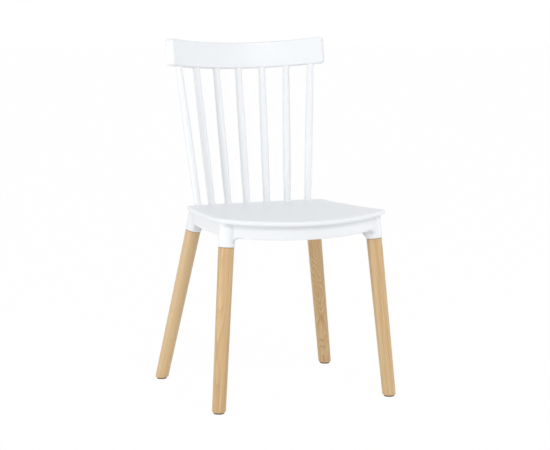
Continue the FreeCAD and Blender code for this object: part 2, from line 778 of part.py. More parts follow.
def make_leg(tag, side, end):
    """One leg in its own frame, with the bores for its nail and its inserts."""
    frame = leg_frame(side, end)
    tilt = math.radians(leg_tilt(side, end))
    cut_depth = (value("socket_rim_z") - value("glide_thickness")) / math.cos(tilt)
    stock = "(dims.socket_rim_z / %.6f + 2 * dims.leg_foot_radius)" % math.cos(tilt)
    tip = "(dims.tenon_length - dims.tenon_chamfer)"
    body = turned_body("leg_" + tag, [
        ("axis_low", "0", "-%s" % stock),
        ("shaft_low", "dims.leg_foot_radius", "-%s" % stock),
        ("shaft_high", "dims.leg_top_radius", "0"),
        ("tenon_root", "dims.tenon_radius", "0"),
        ("tenon_edge", "dims.tenon_radius", tip),
        ("tenon_tip", "dims.tenon_radius - dims.tenon_chamfer", "dims.tenon_length"),
        ("axis_high", "0", "dims.tenon_length"),
    ])
    half = value("leg_foot_radius") * 2
    rise = half * math.tan(tilt)
    low = cut_depth + value("leg_foot_radius") * 4
    waste = polygon_sketch(body, body.Name + "_foot_cut", "XZ_Plane", [
        (-half, -cut_depth + rise), (half, -cut_depth - rise), (half, -low), (-half, -low)])
    waste.addConstraint([Sketcher.Constraint("Block", index) for index in range(4)])
    foot_cut = body.newObject("PartDesign::Pocket", body.Name + "_level_foot")
    foot_cut.Profile = waste
    foot_cut.Type = "ThroughAll"
    foot_cut.Midplane = True
    doc.recompute()
    down = Vector(-math.sin(tilt), 0, -math.cos(tilt))
    sole = flat_end(foot_cut.Shape, down)
    rim = [i for i, edge in enumerate(foot_cut.Shape.Edges, start=1)
           if any(edge.isSame(other) for other in sole.Edges)]
    chamfer = body.newObject("PartDesign::Chamfer", body.Name + "_foot_chamfer")
    chamfer.Base = (foot_cut, ["Edge%d" % i for i in rim])
    chamfer.setExpression("Size", "dims.foot_chamfer")
    sole_point = Vector(0, 0, -cut_depth)
    upward = Placement(sole_point, Rotation(Vector(0, 0, 1), -down))
    bore_in(body, body.Name + "_nail_bore", upward, {
        "Radius": "dims.nail_radius + dims.nail_clearance",
        "Height": "dims.nail_length + dims.nail_clearance - dims.glide_thickness + dims.nail_recess",
    })
    for number, place in enumerate(bolt_frames(Placement()), start=1):
        bore_in(body, "%s_insert_bore_%d" % (body.Name, number),
                place * Placement(Vector(0, 0, insert_floor()), Rotation()), {
                    "Radius": "dims.insert_radius + dims.insert_clearance",
                    "Height": "dims.insert_length + dims.insert_clearance + dims.tenon_radius",
                })
    doc.recompute()
    body.Placement = frame
    body.Label = "leg_" + tag
    return body


def insert_floor():
    """Distance of an insert bore's floor from the leg's axis."""
    return value("tenon_radius") - value("insert_length") - value("insert_clearance")


for tag, side, end in LEGS:
    pieces.append(make_leg(tag, side, end))


# Glides: a plastic disc nailed under each foot

def make_glide(tag, side, end):
    """Plastic disc with a countersunk recess for the head of its nail."""
    recess_depth = "dims.nail_recess + dims.nail_head_height"
    body = turned_body("glide_" + tag, [
        ("bore_top", "dims.nail_radius + dims.nail_clearance", "dims.glide_thickness"),
        ("bore_low", "dims.nail_radius + dims.nail_clearance", recess_depth),
        ("recess_top", "dims.nail_head_radius + dims.nail_clearance", recess_depth),
        ("recess_low", "dims.nail_head_radius + dims.nail_clearance", "0"),
        ("edge_low", "dims.glide_radius - dims.glide_edge", "0"),
        ("edge_side", "dims.glide_radius", "dims.glide_edge"),
        ("edge_top", "dims.glide_radius", "dims.glide_thickness"),
    ])
    doc.recompute()
    body.Placement = Placement(sole_centre(side, end), Rotation())
    body.Label = "glide_" + tag
    return body


def sole_centre(side, end):
    """Point on the floor under the middle of a foot's level cut."""
    foot, rim = leg_points(side, end)
    share = value("glide_thickness") / value("socket_rim_z")
    return Vector(foot.x + (rim.x - foot.x) * share, foot.y + (rim.y - foot.y) * share, 0)


def make_nail(tag, side, end):
    """Nail that holds a glide: flat head in the recess, shank up into the leg."""
    shank_top = "dims.nail_recess + dims.nail_length"
    body = turned_body("glide_nail_" + tag, [
        ("axis_low", "0", "dims.nail_recess"),
        ("head_low", "dims.nail_head_radius", "dims.nail_recess"),
        ("head_top", "dims.nail_head_radius", "dims.nail_recess + dims.nail_head_height"),
        ("shank_low", "dims.nail_radius", "dims.nail_recess + dims.nail_head_height"),
        ("shank_top", "dims.nail_radius", shank_top + " - 2 * dims.nail_radius"),
        ("point", "0", shank_top),
    ])
    doc.recompute()
    body.Placement = Placement(sole_centre(side, end), Rotation())
    body.Label = "glide_nail_" + tag
    return body


for tag, side, end in LEGS:
    pieces.append(make_glide(tag, side, end))
for tag, side, end in LEGS:
    pieces.append(make_nail(tag, side, end))


# Leg bolts, washers and inserts: one master of each, two copies per leg

def make_bolt():
    """Button-head bolt with a six-sided key recess; its head sits at the origin, shank along -Z."""
    crown = "dims.bolt_head_height"
    body = turned_body("bolt_master", [
        ("tip", "0", "-dims.bolt_reach"),
        ("shank_low", "dims.bolt_radius", "-dims.bolt_reach"),
        ("shank_top", "dims.bolt_radius", "0"),
        ("head_low", "dims.bolt_head_radius", "0"),
        ("head_edge", "dims.bolt_head_radius", "0.4 * " + crown),
        ("crown_edge", "0.6 * dims.bolt_head_radius", crown),
        ("crown", "0", crown),
    ])
    key = body.newObject("PartDesign::SubtractivePrism", "bolt_key_recess")
    key.Polygon = 6
    bind(key, {
        "Circumradius": "dims.bolt_key_size / sqrt(3)",
        "Height": "dims.bolt_head_height",
        "Placement.Base.z": "dims.bolt_head_height - dims.bolt_key_depth",
    })
    return body


def make_washer():
    """Flat washer lying on the bolt pad."""
    return turned_body("washer_master", [
        ("inner_low", "dims.bolt_radius + dims.bolt_hole_clearance", "0"),
        ("outer_low", "dims.washer_radius", "0"),
        ("outer_top", "dims.washer_radius", "dims.washer_thickness"),
        ("inner_top", "dims.bolt_radius + dims.bolt_hole_clearance", "dims.washer_thickness"),
    ])


def make_insert():
    """Threaded bush; its outer end is level with the tenon."""
    return turned_body("insert_master", [
        ("inner_low", "dims.bolt_radius + dims.insert_clearance", "-dims.insert_length"),
        ("outer_low", "dims.insert_radius", "-dims.insert_length"),
        ("outer_top", "dims.insert_radius", "0"),
        ("inner_top", "dims.bolt_radius + dims.insert_clearance", "0"),
    ])


def pair(name, master, distance, side, end):
    """Two copies of a fastener on a leg, at a distance from the leg's axis."""
    doc.recompute()
    copies = []
    for place in bolt_frames(leg_frame(side, end)):
        copy = master.Shape.copy()
        copy.Placement = place * Placement(Vector(0, 0, distance), Rotation())
        copies.append(copy)
    item = doc.addObject("Part::Feature", name)
    item.Shape = Part.makeCompound(copies)
    item.Label = name
    return item


bolt_master = make_bolt()
washer_master = make_washer()
insert_master = make_insert()
pad_face = value("socket_rim_radius") + value("pad_height")
for tag, side, end in LEGS:
    pieces.append(pair("leg_bolts_" + tag, bolt_master, pad_face + value("washer_thickness"), side, end))
for tag, side, end in LEGS:
    pieces.append(pair("bolt_washers_" + tag, washer_master, pad_face, side, end))
for tag, side, end in LEGS:
    pieces.append(pair("threaded_inserts_" + tag, insert_master, value("tenon_radius"), side, end))
doc.recompute()


# Every object has to be sound before anything is written

for item in doc.Objects:
    if "Invalid" in item.State or "Error" in item.State:
        raise RuntimeError("failed object " + item.Name)
for piece in pieces:
    if piece.Shape.isNull() or not piece.Shape.isValid():
        raise RuntimeError("bad shape " + piece.Label)

os.makedirs("parts", exist_ok=True)
for piece in pieces:
    piece.Shape.exportStep("parts/%s.step" % piece.Label)
    print(piece.Label, len(piece.Shape.Solids), round(piece.Shape.Volume / 1000, 2))
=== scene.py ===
import bmesh
import bpy
import math
from mathutils import Matrix, Vector


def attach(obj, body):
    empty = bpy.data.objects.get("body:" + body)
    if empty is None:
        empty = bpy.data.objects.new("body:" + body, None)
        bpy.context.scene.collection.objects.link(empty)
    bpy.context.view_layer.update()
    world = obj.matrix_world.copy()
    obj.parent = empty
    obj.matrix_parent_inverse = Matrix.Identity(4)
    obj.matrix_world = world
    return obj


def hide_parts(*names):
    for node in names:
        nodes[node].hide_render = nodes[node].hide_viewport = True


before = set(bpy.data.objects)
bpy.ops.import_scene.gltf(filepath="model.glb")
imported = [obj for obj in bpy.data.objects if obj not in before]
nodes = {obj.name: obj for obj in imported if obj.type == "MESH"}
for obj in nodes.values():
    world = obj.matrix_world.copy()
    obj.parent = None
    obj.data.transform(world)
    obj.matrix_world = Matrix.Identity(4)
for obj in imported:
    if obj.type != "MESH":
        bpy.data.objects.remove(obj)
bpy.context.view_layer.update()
corners = ["front_left", "front_right", "rear_left", "rear_right"]
mm = 0.001
quarter = math.pi / 2
print("frame loaded:", len(nodes), "nodes")


# A value in a node tree that takes part in Python sums

class Val:
    def __init__(self, graph, socket):
        self.graph = graph
        self.socket = socket

    def fn(self, operation, *others):
        return self.graph.maths(operation, self, *others)

    def __add__(self, other):
        return self.graph.maths("ADD", self, other)

    def __sub__(self, other):
        return self.graph.maths("SUBTRACT", self, other)

    def __mul__(self, other):
        return self.graph.maths("MULTIPLY", self, other)

    def __truediv__(self, other):
        return self.graph.maths("DIVIDE", self, other)

    def __rsub__(self, other):
        return self.graph.maths("SUBTRACT", other, self)

    def __rtruediv__(self, other):
        return self.graph.maths("DIVIDE", other, self)

    __radd__ = __add__
    __rmul__ = __mul__


class Graph:                     # a node tree with one method for any node
    def __init__(self, tree):
        self.tree = tree

    def make(self, kind, settings=None, inputs=None):
        node = self.tree.nodes.new(kind)
        for name, setting in (settings or {}).items():
            if name == "stops":
                fillRamp(node.color_ramp, setting)
            else:
                setattr(node, name, setting)
        for name, given in (inputs or {}).items():
            self.feed(node.inputs[name], given)
        return node

    def feed(self, socket, given):
        if isinstance(given, Val):
            self.tree.links.new(given.socket, socket)
        elif isinstance(given, bpy.types.NodeSocket):
            self.tree.links.new(given, socket)
        else:
            socket.default_value = given

    def maths(self, operation, *terms):
        node = self.make("ShaderNodeMath", {"operation": operation}, dict(enumerate(terms)))
        return Val(self, node.outputs[0])

    def vector(self, x, y, z):
        return self.make("ShaderNodeCombineXYZ", None, {0: x, 1: y, 2: z}).outputs[0]

    def vectorMaths(self, operation, *terms):
        return self.make("ShaderNodeVectorMath", {"operation": operation}, dict(enumerate(terms)))

    def split(self, vector):
        parts = self.make("ShaderNodeSeparateXYZ", None, {0: vector}).outputs
        return [Val(self, part) for part in parts]


def fillRamp(ramp, stops):
    while len(ramp.elements) < len(stops):
        ramp.elements.new(0.5)
    for element, (place, colour) in zip(ramp.elements, stops):
        element.position = place
        element.color = (*colour, 1.0)


def mixColour(graph, share, first, second):
    node = graph.make("ShaderNodeMix", {"data_type": "RGBA"}, {0: share, 6: first, 7: second})
    return node.outputs[2]


# Camera, fitted to the photograph

camera = {
    "place": (-1.471, -3.5654, 0.921),
    "turn": -22.49,              # degrees round the upright, 0 looks along +Y
    "pitch": 7.77,               # degrees down
    "roll": -0.14,
    "lens": 106.5,
    "sensor": 36.0,
    "farthest": 100,
}


def makeCamera():
    turn = math.radians(camera["turn"])
    pitch = math.radians(camera["pitch"])
    roll = math.radians(camera["roll"])
    back = Vector((math.sin(turn) * math.cos(pitch), -math.cos(turn) * math.cos(pitch), math.sin(pitch)))
    right = Vector((math.cos(turn), math.sin(turn), 0))
    up = back.cross(right)
    levelRight = right * math.cos(roll) + up * math.sin(roll)
    levelUp = up * math.cos(roll) - right * math.sin(roll)
    data = bpy.data.cameras.new("camera")
    data.lens = camera["lens"]
    data.sensor_width = camera["sensor"]
    data.clip_end = camera["farthest"]
    item = bpy.data.objects.new("camera", data)
    axes = Matrix((levelRight, levelUp, back)).transposed().to_4x4()
    item.matrix_world = Matrix.Translation(camera["place"]) @ axes
    bpy.context.scene.collection.objects.link(item)
    bpy.context.scene.camera = item


makeCamera()
print("camera set")


# Studio: white surroundings, pale floor, large soft lamps

studio = {
    "surround": 0.61,            # light of the white surroundings on the object
    "topGain": 0.17,             # how much more comes from overhead than from the horizon
    "frontGain": 0.10,           # how much more of it comes from the front than from behind
    "skyTint": (0.95, 0.98, 1.02),
    "floorColour": (0.90, 0.90, 0.90),
    "floorSize": 60.0,
    "floorShine": 0.98,          # share of plain white in what the camera sees of the floor
    "lamps": [                   # name, place, aim, size, watts
        ("leftSoftbox", (-2.5, -0.6, 0.30), (0, 0, 0.4), 1.3, 26),
        ("rightSoftbox", (2.3, -1.3, 0.25), (0, 0, 0.4), 1.2, 12),
        ("frontKey", (0.0, -2.75, 2.5), (0, 0, 0.45), 0.9, 24.5),
    ],
}


def seenPlainly(graph):          # 1 for what the camera sees, straight or in a reflection
    path = graph.make("ShaderNodeLightPath").outputs
    seen = Val(graph, path["Is Camera Ray"])
    seen = seen.fn("MAXIMUM", Val(graph, path["Is Glossy Ray"]))
    return seen.fn("MAXIMUM", Val(graph, path["Is Transmission Ray"]))


def makeSurroundings():
    world = bpy.data.worlds.new("studio")
    world.use_nodes = True
    bpy.context.scene.world = world
    world.node_tree.nodes.clear()
    graph = Graph(world.node_tree)
    seen = seenPlainly(graph)
    x, y, z = graph.split(graph.make("ShaderNodeTexCoord").outputs["Generated"])
    height = z.fn("MAXIMUM", 0.0)
    cast = y * -studio["frontGain"] + height * studio["topGain"] + studio["surround"]
    strength = seen + (1.0 - seen) * cast
    tint = mixColour(graph, (1.0 - seen) * height, (1, 1, 1, 1), (*studio["skyTint"], 1))
    light = graph.make("ShaderNodeBackground", None, {"Color": tint, "Strength": strength})
    graph.make("ShaderNodeOutputWorld", None, {"Surface": light.outputs[0]})


def makeFloor():
    material, graph = newMaterial("studioFloor")
    matt = graph.make("ShaderNodeBsdfDiffuse", None, {"Color": (*studio["floorColour"], 1)})
    glow = graph.make("ShaderNodeEmission", None, {"Color": (1, 1, 1, 1), "Strength": 1.0})
    share = seenPlainly(graph) * studio["floorShine"]
    mix = graph.make("ShaderNodeMixShader", None, {0: share, 1: matt.outputs[0], 2: glow.outputs[0]})
    graph.make("ShaderNodeOutputMaterial", None, {"Surface": mix.outputs[0]})

    half = studio["floorSize"] / 2
    edge = [(-half, -half, 0), (half, -half, 0), (half, half, 0), (-half, half, 0)]
    mesh = bpy.data.meshes.new("studioFloor")
    mesh.from_pydata(edge, [], [(0, 1, 2, 3)])
    mesh.materials.append(material)
    floor = bpy.data.objects.new("studioFloor", mesh)
    bpy.context.scene.collection.objects.link(floor)


def makeLamps():
    for name, place, aim, size, watts in studio["lamps"]:
        lamp = bpy.data.lights.new(name, "AREA")
        lamp.shape = "SQUARE"
        lamp.size = size
        lamp.energy = watts
        item = bpy.data.objects.new(name, lamp)
        item.location = place
        item.rotation_euler = (Vector(aim) - Vector(place)).to_track_quat("-Z", "Y").to_euler()
        bpy.context.scene.collection.objects.link(item)


def newMaterial(name):
    material = bpy.data.materials.new(name)
    material.use_nodes = True
    material.node_tree.nodes.clear()
    return material, Graph(material.node_tree)


makeSurroundings()
makeFloor()
makeLamps()
bpy.context.scene.view_settings.view_transform = "Standard"
print("studio set")


# Materials. Scales are in cells per metre, depths of relief in mm

def finishMaterial(graph, sockets, height, depth, strength, blend=0.0):
    surface = graph.make("ShaderNodeBsdfPrincipled", None, sockets)
    bump = graph.make("ShaderNodeBump", None, {
        "Height": height, "Distance": depth * mm, "Strength": strength})
    if blend:
        share = graph.make("ShaderNodeAttribute", {"attribute_name": "soften"}).outputs["Fac"]
        soft = graph.make("ShaderNodeBevel", {"samples": 6}, {"Radius": blend * mm}).outputs[0]
        plain = graph.make("ShaderNodeNewGeometry").outputs["Normal"]
        mixed = graph.make("ShaderNodeMix", {"data_type": "VECTOR"}, {0: share, 4: plain, 5: soft})
        graph.feed(bump.inputs["Normal"], mixed.outputs[1])
    graph.feed(surface.inputs["Normal"], bump.outputs[0])
    graph.make("ShaderNodeOutputMaterial", None, {"Surface": surface.outputs[0]})


def onObject(graph):
    return graph.make("ShaderNodeTexCoord").outputs["Object"]


def noise(graph, vector, scale, detail=2.0, roughness=0.5):
    node = graph.make("ShaderNodeTexNoise", None, {
        "Vector": vector, "Scale": scale, "Detail": detail, "Roughness": roughness})
    return Val(graph, node.outputs[0])


def around(middle, spread, field):    # strays from the middle as the field strays from a half
    return (field - 0.5) * spread + middle


def mapRange(graph, value, fromEnds, toEnds):
    node = graph.make("ShaderNodeMapRange", None, dict(enumerate((value, *fromEnds, *toEnds))))
    return node.outputs[0]


plastic = {
    "colour": (0.850, 0.860, 0.870),
    "shade": (0.830, 0.841, 0.853),    # faint cloudiness of the moulding
    "cloudScale": 9.0,
    "roughness": 0.42,
    "roughnessSpread": 0.08,
    "scuffScale": 60.0,
    "grainScale": 1600.0,              # fine spark-eroded texture
    "grainDepth": 0.02,
    "grainStrength": 0.5,
    "ior": 1.49,
    "blend": 8.0,                      # mm, softens where sockets grow out of the skirt
}


def whitePlastic(name, blend):
    material, graph = newMaterial(name)
    place = onObject(graph)
    cloud = noise(graph, place, plastic["cloudScale"], 3.0)
    grain = noise(graph, place, plastic["grainScale"], 1.0)
    scuff = noise(graph, place, plastic["scuffScale"], 4.0, 0.6)
    colour = mixColour(graph, cloud, (*plastic["colour"], 1), (*plastic["shade"], 1))
    roughness = around(plastic["roughness"], plastic["roughnessSpread"], scuff)
    finishMaterial(graph, {"Base Color": colour, "Roughness": roughness, "IOR": plastic["ior"]},
                   grain, plastic["grainDepth"], plastic["grainStrength"], blend)
    return material


beech = {
    "light": (0.67, 0.475, 0.255),
    "middle": (0.55, 0.345, 0.158),
    "dark": (0.41, 0.235, 0.098),
    "stops": (0.22, 0.50, 0.82),       # shades at which the wood is light, middle and dark
    "baseShade": -0.22,
    "ringsPerMetre": 260.0,
    "ringSharpness": 2.2,              # above 1, a ring darkens late and then ends at once
    "ringMean": 0.3,                   # a ring's average, taken off so that bold rings don't darken the leg
    "pithAway": 0.055,                 # metres from the leg's middle to the heart of the log
    "pithAwayByShift": 0.02,
    "pithAside": 0.01,
    "pithFlatness": 0.8,
    "swayScale": (14.0, 4.5),          # across and along the leg
    "fibreScale": (520.0, 9.0),
    "fibreShare": 0.50,
    "streakScale": (110.0, 2.4),
    "streakShare": 0.66,
    "fleck": (0.42, 0.255, 0.125),
    "fleckScale": (900.0, 130.0),
    "fleckEdge": (0.10, 0.26),
    "fleckStrength": 0.42,
    "paintedShade": (0.20, 0.115, 0.055),      # painted shade: darker wood under the socket's rim, where its shadow falls
    "paintedShadeBand": (2.2, 0.4),            # mm below the socket's mouth, where the painted shade starts and is full
    "paintedShadeStrength": 0.75,
    "roughness": 0.40,
    "roughnessSpread": 0.12,
    "reliefDepth": 0.06,
    "reliefStrength": 0.35,
    "ior": 1.5,
    "sheen": 0.42,                     # pale bloom of the lacquer at the edges
    "sheenRoughness": 0.3,
}
grain = {       # how the legs differ: shift along the log, tone, slope of the rings, their contrast and waver
    "front_left": (0.3, -0.03, 0.03, 0.20, 0.03),
    "front_right": (1.1, 0.10, 0.02, 0.16, 0.02),
    "rear_left": (2.2, 0.03, 0.08, 0.36, 0.09),
    "rear_right": (0.7, -0.20, 0.02, 0.24, 0.04),
}


def beechWood(corner, place):
    shift, tone, slope, bold, waver = grain[corner]
    material, graph = newMaterial("beech_" + corner)
    along = graph.make("ShaderNodeMapping", {"vector_type": "TEXTURE"}, {
        "Vector": onObject(graph), "Location": place.to_translation() * mm, "Rotation": place.to_euler()})
    x, y, z = graph.split(along.outputs[0])

    def stretched(scale, offset=0.0):    # wood is drawn out along the leg
        return graph.vector(x * scale[0], y * scale[0], z * scale[1] + offset)

    sway = noise(graph, stretched(beech["swayScale"], shift), 1.0) - 0.5
    pithAway = beech["pithAway"] + beech["pithAwayByShift"] * shift
    pith = graph.vector(x + pithAway, (y + beech["pithAside"]) * beech["pithFlatness"], 0.0)
    away = Val(graph, graph.vectorMaths("LENGTH", pith).outputs["Value"])
    rings = (away + z * slope + sway * waver) * beech["ringsPerMetre"]
    ring = (rings - rings.fn("FLOOR")).fn("POWER", beech["ringSharpness"])
    fibre = noise(graph, stretched(beech["fibreScale"], shift), 1.0, 3.0, 0.6)
    streak = noise(graph, stretched(beech["streakScale"], shift * 3), 1.0)
    base = tone + beech["baseShade"] - bold * beech["ringMean"]
    shade = ring * bold + fibre * beech["fibreShare"] + streak * beech["streakShare"] + base
    stops = list(zip(beech["stops"], (beech["light"], beech["middle"], beech["dark"])))
    board = graph.make("ShaderNodeValToRGB", {"stops": stops}, {0: shade}).outputs[0]
    dash = graph.make("ShaderNodeTexVoronoi", {"feature": "F1"}, {
        "Vector": stretched(beech["fleckScale"]), "Scale": 1.0, "Randomness": 1.0})
    fleck = mapRange(graph, dash.outputs["Distance"], beech["fleckEdge"], (beech["fleckStrength"], 0.0))
    colour = mixColour(graph, fleck, board, (*beech["fleck"], 1))
    # painted shade: a darker band on the wood just under the socket's mouth stands in for the shadow of the
    # socket's rim
    paintedShade = mapRange(graph, z, [-part * mm for part in beech["paintedShadeBand"]], (0.0, beech["paintedShadeStrength"]))
    colour = mixColour(graph, paintedShade, colour, (*beech["paintedShade"], 1))
    roughness = around(beech["roughness"], beech["roughnessSpread"], fibre)
    sockets = {"Base Color": colour, "Roughness": roughness, "IOR": beech["ior"],
               "Sheen Weight": beech["sheen"], "Sheen Roughness": beech["sheenRoughness"]}
    finishMaterial(graph, sockets, fibre, beech["reliefDepth"], beech["reliefStrength"])
    return material


metal = {
    "darker": 0.88,                    # colour of the darker clouds, as a share of the light ones'
    "cloudScale": 240.0,
    "brushScale": 2600.0,
    "brushDepth": 0.01,
    "brushStrength": 0.4,
    "roughnessSpread": 0.14,
}


def plainMetal(name, colour, roughness):
    material, graph = newMaterial(name)
    place = onObject(graph)
    cloud = noise(graph, place, metal["cloudScale"], 3.0)
    brush = noise(graph, place, metal["brushScale"])
    tint = mixColour(graph, cloud, (*colour, 1), (*[part * metal["darker"] for part in colour], 1))
    roughness = around(roughness, metal["roughnessSpread"], cloud)
    finishMaterial(graph, {"Base Color": tint, "Metallic": 1.0, "Roughness": roughness},
                   brush, metal["brushDepth"], metal["brushStrength"])
    return material


glide = {
    "colour": (0.17, 0.115, 0.070),
    "shade": (0.23, 0.165, 0.11),
    "scuffScale": 700.0,
    "scuffDepth": 0.05,
    "scuffStrength": 0.4,
    "roughness": 0.55,
    "roughnessSpread": 0.2,
}


def glidePlastic():
    material, graph = newMaterial("glidePlastic")
    scuff = noise(graph, onObject(graph), glide["scuffScale"], 4.0, 0.6)
    colour = mixColour(graph, scuff, (*glide["colour"], 1), (*glide["shade"], 1))
    roughness = around(glide["roughness"], glide["roughnessSpread"], scuff)
    finishMaterial(graph, {"Base Color": colour, "Roughness": roughness},
                   scuff, glide["scuffDepth"], glide["scuffStrength"])
    return material


def dressHardware():
    zincSteel = plainMetal("zincSteel", (0.62, 0.63, 0.64), 0.34)
    finishes = {
        "glide_": glidePlastic(),
        "glide_nail_": plainMetal("bareSteel", (0.56, 0.55, 0.53), 0.42),
        "leg_bolts_": zincSteel,
        "bolt_washers_": zincSteel,
        "threaded_inserts_": plainMetal("yellowZinc", (0.70, 0.58, 0.34), 0.36),
    }
    for prefix, material in finishes.items():
        for corner in corners:
            item = nodes[prefix + corner]
            item.data.materials.clear()
            item.data.materials.append(material)


white = whitePlastic("whitePlastic", 0.0)
blendedWhite = whitePlastic("whitePlasticBlended", plastic["blend"])
dressHardware()
print("materials made")


# Mesh helpers. Sizes are in mm from here on, and meshes turn them into metres

eased = [(0.0, 0.8), (0.25, 0.25), (0.8, 0.0)]    # a small rounded edge: in from the face, up from the end
weld = 1e-6                                       # metres


def meshPiece(name, points, faces, material, creaseAngle, soften=None):
    mesh = bpy.data.meshes.new(name)
    mesh.from_pydata([tuple(point) for point in points], [], faces)
    if soften is not None:
        marks = mesh.attributes.new("soften", "FLOAT", "POINT")
        marks.data.foreach_set("value", soften)
    mesh.materials.append(material)
    shape = bmesh.new()
    shape.from_mesh(mesh)
    bmesh.ops.remove_doubles(shape, verts=shape.verts, dist=weld)
    bmesh.ops.recalc_face_normals(shape, faces=shape.faces)
    crease = math.radians(creaseAngle)
    for face in shape.faces:
        face.smooth = True
    for edge in shape.edges:
        if len(edge.link_faces) == 2 and edge.calc_face_angle(0) > crease:
            edge.smooth = False
    shape.to_mesh(mesh)
    shape.free()
    item = bpy.data.objects.new(name, mesh)
    bpy.context.scene.collection.objects.link(item)
    return item


def finishPiece(item, slot, *replaced):
    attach(item, "root")
    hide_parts(*replaced)


def loopFaces(first, second, count):
    faces = []
    for i in range(count):
        after = (i + 1) % count
        faces.append((first + i, first + after, second + after, second + i))
    return faces


def addRings(rings, points, faces, capped=True):
    count = len(rings[0])
    start = len(points)
    for ring in rings:
        points += [point * mm for point in ring]
    for step in range(len(rings) - 1):
        faces += loopFaces(start + step * count, start + (step + 1) * count, count)
    if capped:
        last = len(points) - count
        faces.append(tuple(range(start + count - 1, start - 1, -1)))
        faces.append(tuple(range(last, last + count)))


def turnSteps(segments):
    return [2 * math.pi * i / segments for i in range(segments)]


def aboutZ(radius, angle, lift):
    return Vector((radius * math.cos(angle), radius * math.sin(angle), lift))


# Seat: one moulding from the dished top round the rolled rim to skirt and underside

seat = {
    "rearCorner": (179.0, 111.6),
    "rearMiddle": 180.6,
    "frontCorner": (206.0, -188.4),
    "frontMiddle": -247.4,
    "cornerRound": 3.5,
    "sharpestRound": 1.2,
    "dishY": (196.6, -23.4, -263.4),
    "dishMiddle": (430.0, 428.0, 436.0),
    "dishSide": (441.0, 440.0, 450.0),
    "dishHalf": (185.0, 200.0, 220.0),
    "topRings": ((26.0, 12.0), (16.0, 7.0), (11.0, 3.0)),    # inset and corner round of rings on the top
    "skin": 4.0,
    "rimDepth": 11.5,
    "rimWall": 4.0,
    "topRound": (9.0, 7.0),      # how far in and how deep the rim rolls over
    "endSharpness": 0.42,        # share of that depth left at the rear and the corners
    "rollHalf": 120.0,           # the roll is at its fullest this far to either side of the middle
    "rollFade": 3.0,             # below the roll, the face is back at full depth after this much
    "lowerDraw": 1.2,            # how far the rim draws in towards its lower edge
    "drawPower": 1.6,
    "lipStart": 0.8,             # the outer face ends this far above the lower edge
    "lip": ((0.3, 0.25), (1.0, 0.0)),    # further in and above that edge, round it
    "grooveLean": 0.3,           # how far the groove's outer wall leans in at either end
    "cove": 1.0,                 # round where a wall meets the plate
    "coveRound": 4.0,            # corner rounds of groove and skirt
    "skirtRound": 5.0,
    "skirtInset": 14.0,
    "skirtWall": 3.5,
    "skirtDepth": 44.0,
    "skirtFillet": 14.0,         # where the skirt runs down into a socket
    "underRing": (8.0, 9.0),     # first ring of the underside: in from the skirt, corner round
    "rearSteps": 41,
    "sideSteps": 60,
    "frontSteps": 46,
    "cornerSteps": 8,
    "columns": 28,
    "creaseAngle": 50,
}


def through(places, levels, at):  # parabola through three points
    total = 0
    for i in range(3):
        share = levels[i]
        for j in range(3):
            if j != i:
                share *= (at - places[j]) / (places[i] - places[j])
        total += share
    return total


def dish(x, y):                  # height of the seat top
    middle = through(seat["dishY"], seat["dishMiddle"], y)
    side = through(seat["dishY"], seat["dishSide"], y)
    half = through(seat["dishY"], seat["dishHalf"], y)
    rise = side - middle
    radius = (half * half + rise * rise) / (2 * rise)
    return middle + radius - math.sqrt(radius * radius - x * x)


def arcThrough(corner, middle):  # centre and radius of an arc over the middle line
    x, y = corner
    bow = abs(middle - y)
    radius = (x * x + bow * bow) / (2 * bow)
    return middle - math.copysign(radius, middle - y), radius


rearY, rearRadius = arcThrough(seat["rearCorner"], seat["rearMiddle"])
frontY, frontRadius = arcThrough(seat["frontCorner"], seat["frontMiddle"])
sideStart = Vector(seat["rearCorner"])
sideRun = (Vector(seat["frontCorner"]) - sideStart).normalized()
sideOut = Vector((-sideRun.y, sideRun.x))


def roundedCorner(centreY, radius, inset, turn, ward):    # centre of the round and its way off the arc
    start = sideStart - sideOut * (inset + turn)
    reach = radius - inset - turn
    centre = Vector((0, centreY))
    gap = start - centre
    half = gap.dot(sideRun)
    root = math.sqrt(half * half - gap.dot(gap) + reach * reach)
    hub = start + sideRun * (ward * root - half)
    return hub, (hub - centre).normalized()


def cornerPoints(hub, start, end, turn):
    sweep = start.angle(end)
    points = []
    for i in range(seat["cornerSteps"] + 1):
        share = i / seat["cornerSteps"]
        way = (start * math.sin((1 - share) * sweep) + end * math.sin(share * sweep)) / math.sin(sweep)
        points.append(tuple(hub + way * turn))
    return points


def halfOutline(inset, turn):    # the sitter's left half of the plan, from rear middle to front middle
    rearHub, rearWay = roundedCorner(rearY, rearRadius, inset, turn, -1)
    frontHub, frontWay = roundedCorner(frontY, frontRadius, inset, turn, 1)
    points = []
    reach = rearRadius - inset
    end = math.atan2(rearWay.x, rearWay.y)
    for i in range(seat["rearSteps"]):
        angle = end * i / seat["rearSteps"]
        points.append((math.sin(angle) * reach, rearY + math.cos(angle) * reach))
    points += cornerPoints(rearHub, rearWay, sideOut, turn)
    first = rearHub + sideOut * turn
    last = frontHub + sideOut * turn
    for i in range(1, seat["sideSteps"]):
        points.append(tuple(first.lerp(last, i / seat["sideSteps"])))
    points += cornerPoints(frontHub, sideOut, frontWay, turn)
    reach = frontRadius - inset
    end = math.atan2(frontWay.x, -frontWay.y)
    for i in range(1, seat["frontSteps"] + 1):
        angle = end * (1 - i / seat["frontSteps"])
        points.append((math.sin(angle) * reach, frontY - math.cos(angle) * reach))
    return points


def wholeOutline(inset, turn):   # closed, anticlockwise from above, starting at the rear middle
    half = halfOutline(inset, turn)
    return [(-x, y) for x, y in half] + [(x, y) for x, y in reversed(half[1:-1])]


